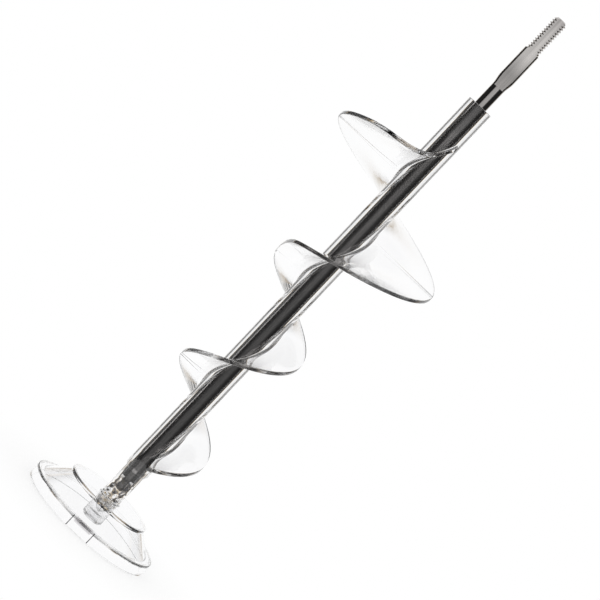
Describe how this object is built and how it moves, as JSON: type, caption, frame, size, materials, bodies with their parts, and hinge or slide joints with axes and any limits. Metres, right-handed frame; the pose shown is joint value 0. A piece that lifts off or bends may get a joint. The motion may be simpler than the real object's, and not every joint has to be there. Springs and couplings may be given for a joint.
{
  "type": "ice dispenser auger",
  "caption": "Clear moulded ice auger: a helical flight, wide at its start and narrow below, on a sleeve around a steel drive shaft with flats and a thread, standing on a hollow flanged foot.",
  "frame": {"origin": "on the shaft's axis, in the plane of the foot rim's lower edge", "axes": "+Z along the shaft from the foot to the threaded end; -Y is the side seen in the picture, on which the flight's trailing edge lies"},
  "size_m": [0.0788, 0.0788, 0.283],
  "materials": {
    "clear_plastic": "clear polycarbonate, glossy",
    "shaft_steel": "plain drawn steel, coined flats and tang, rolled thread"
  },
  "bodies": {
    "root": {"auger_body": "clear_plastic", "drive_shaft": "shaft_steel"}
  },
  "joints": []
}
